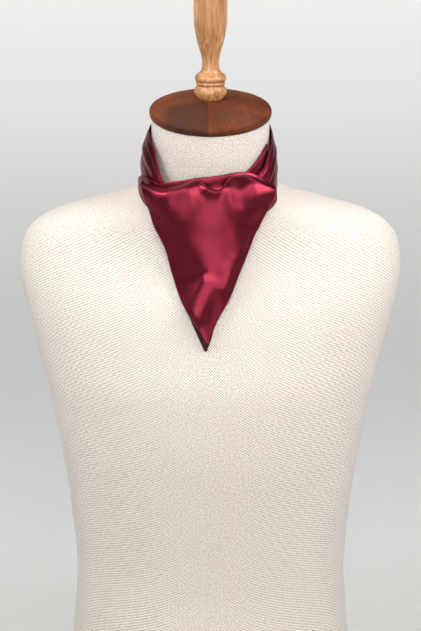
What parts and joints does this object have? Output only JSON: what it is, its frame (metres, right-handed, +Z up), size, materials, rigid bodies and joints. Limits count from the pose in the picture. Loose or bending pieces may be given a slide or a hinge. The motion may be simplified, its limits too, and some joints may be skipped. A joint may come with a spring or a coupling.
{
  "type": "silk cravat on a limbless dress form",
  "caption": "Wine-red silk satin cravat tied ascot style, with a pleated neckband and pointed blades, on a limbless linen dress form with a wooden neck cap and turned finial.",
  "frame": {"origin": "centre of the form's flat underside, on the neck's upright axis", "axes": "+Z up, -Y out of the chest, +X to the right of someone facing the form"},
  "size_m": [0.406, 0.231, 0.7878],
  "materials": {
    "silk_satin": "satin",
    "linen_cover": "matte plain weave",
    "stained_wood": "dark stain, satin varnish",
    "varnished_wood": "satin varnish"
  },
  "bodies": {
    "root": {"neckband_left": "silk_satin", "neckband_right": "silk_satin", "right_tuck": "silk_satin", "throat_crossing": "silk_satin", "front_blade": "silk_satin", "under_blade": "silk_satin", "form_torso": "linen_cover", "neck_cap": "stained_wood", "finial": "varnished_wood"}
  },
  "joints": []
}
